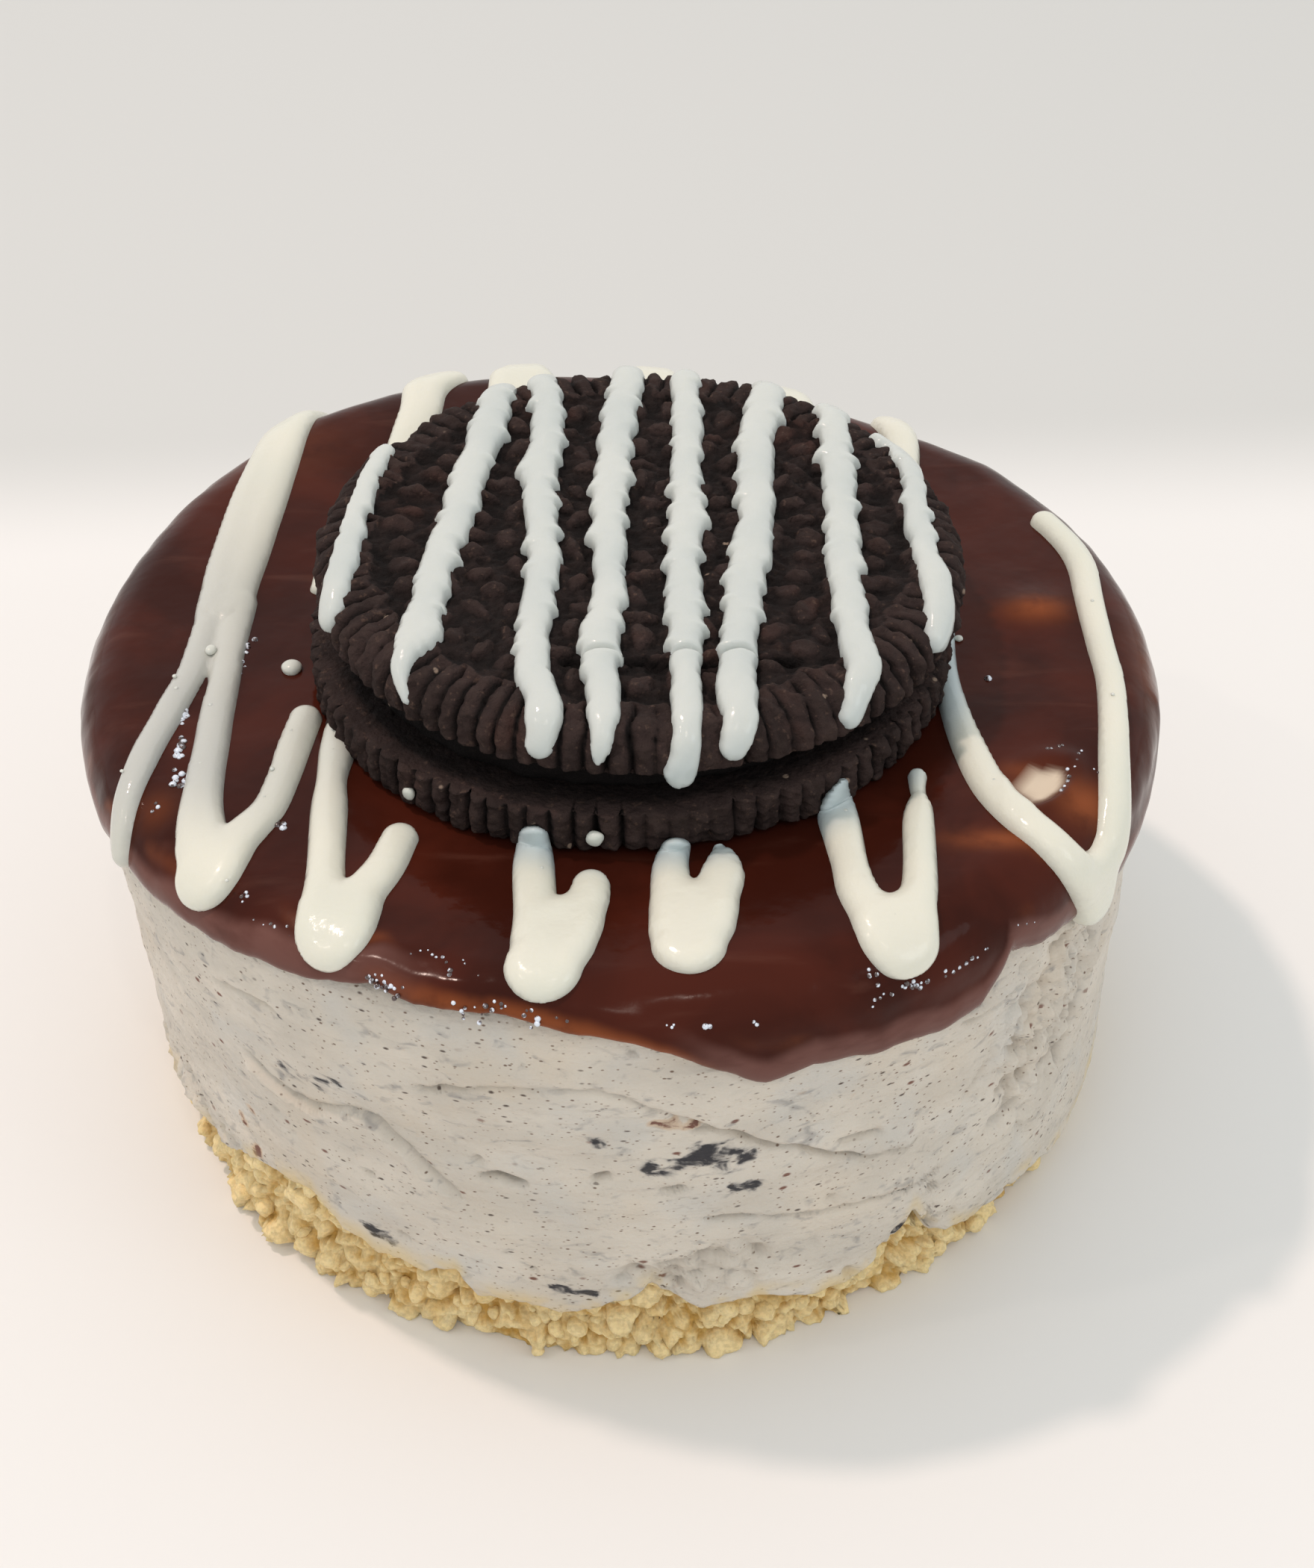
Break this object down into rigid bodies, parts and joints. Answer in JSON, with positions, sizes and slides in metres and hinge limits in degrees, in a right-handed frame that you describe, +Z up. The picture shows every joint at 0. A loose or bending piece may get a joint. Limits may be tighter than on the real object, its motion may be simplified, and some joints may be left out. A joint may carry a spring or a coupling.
{
  "type": "cookies and cream cheesecake",
  "caption": "Small round cheesecake on a crumb base, with a glossy chocolate coat, white icing drizzle and an iced chocolate sandwich cookie on top.",
  "frame": {"origin": "on the ground under the middle of the cake, at the underside of the crumb base", "axes": "+Z up through the cake; -Y is the front, where the hairpins of icing hang; +X is the cake's right side seen from the front"},
  "size_m": [0.0762, 0.0761, 0.0476],
  "materials": {
    "crumb_base": "rough golden crumbs",
    "cheesecake": "moist pale cheesecake with dark specks",
    "chocolate_glaze": "glossy dark chocolate with glossy white icing drizzle",
    "wafer_bottom": "matte baked wafer",
    "cookie_filling": "matte dark filling",
    "wafer_top": "matte baked wafer with glossy white icing stripes"
  },
  "bodies": {
    "root": {"crumb_base": "crumb_base", "cheesecake": "cheesecake", "chocolate_glaze": "chocolate_glaze", "wafer_bottom": "wafer_bottom", "cookie_filling": "cookie_filling", "wafer_top": "wafer_top"}
  },
  "joints": []
}
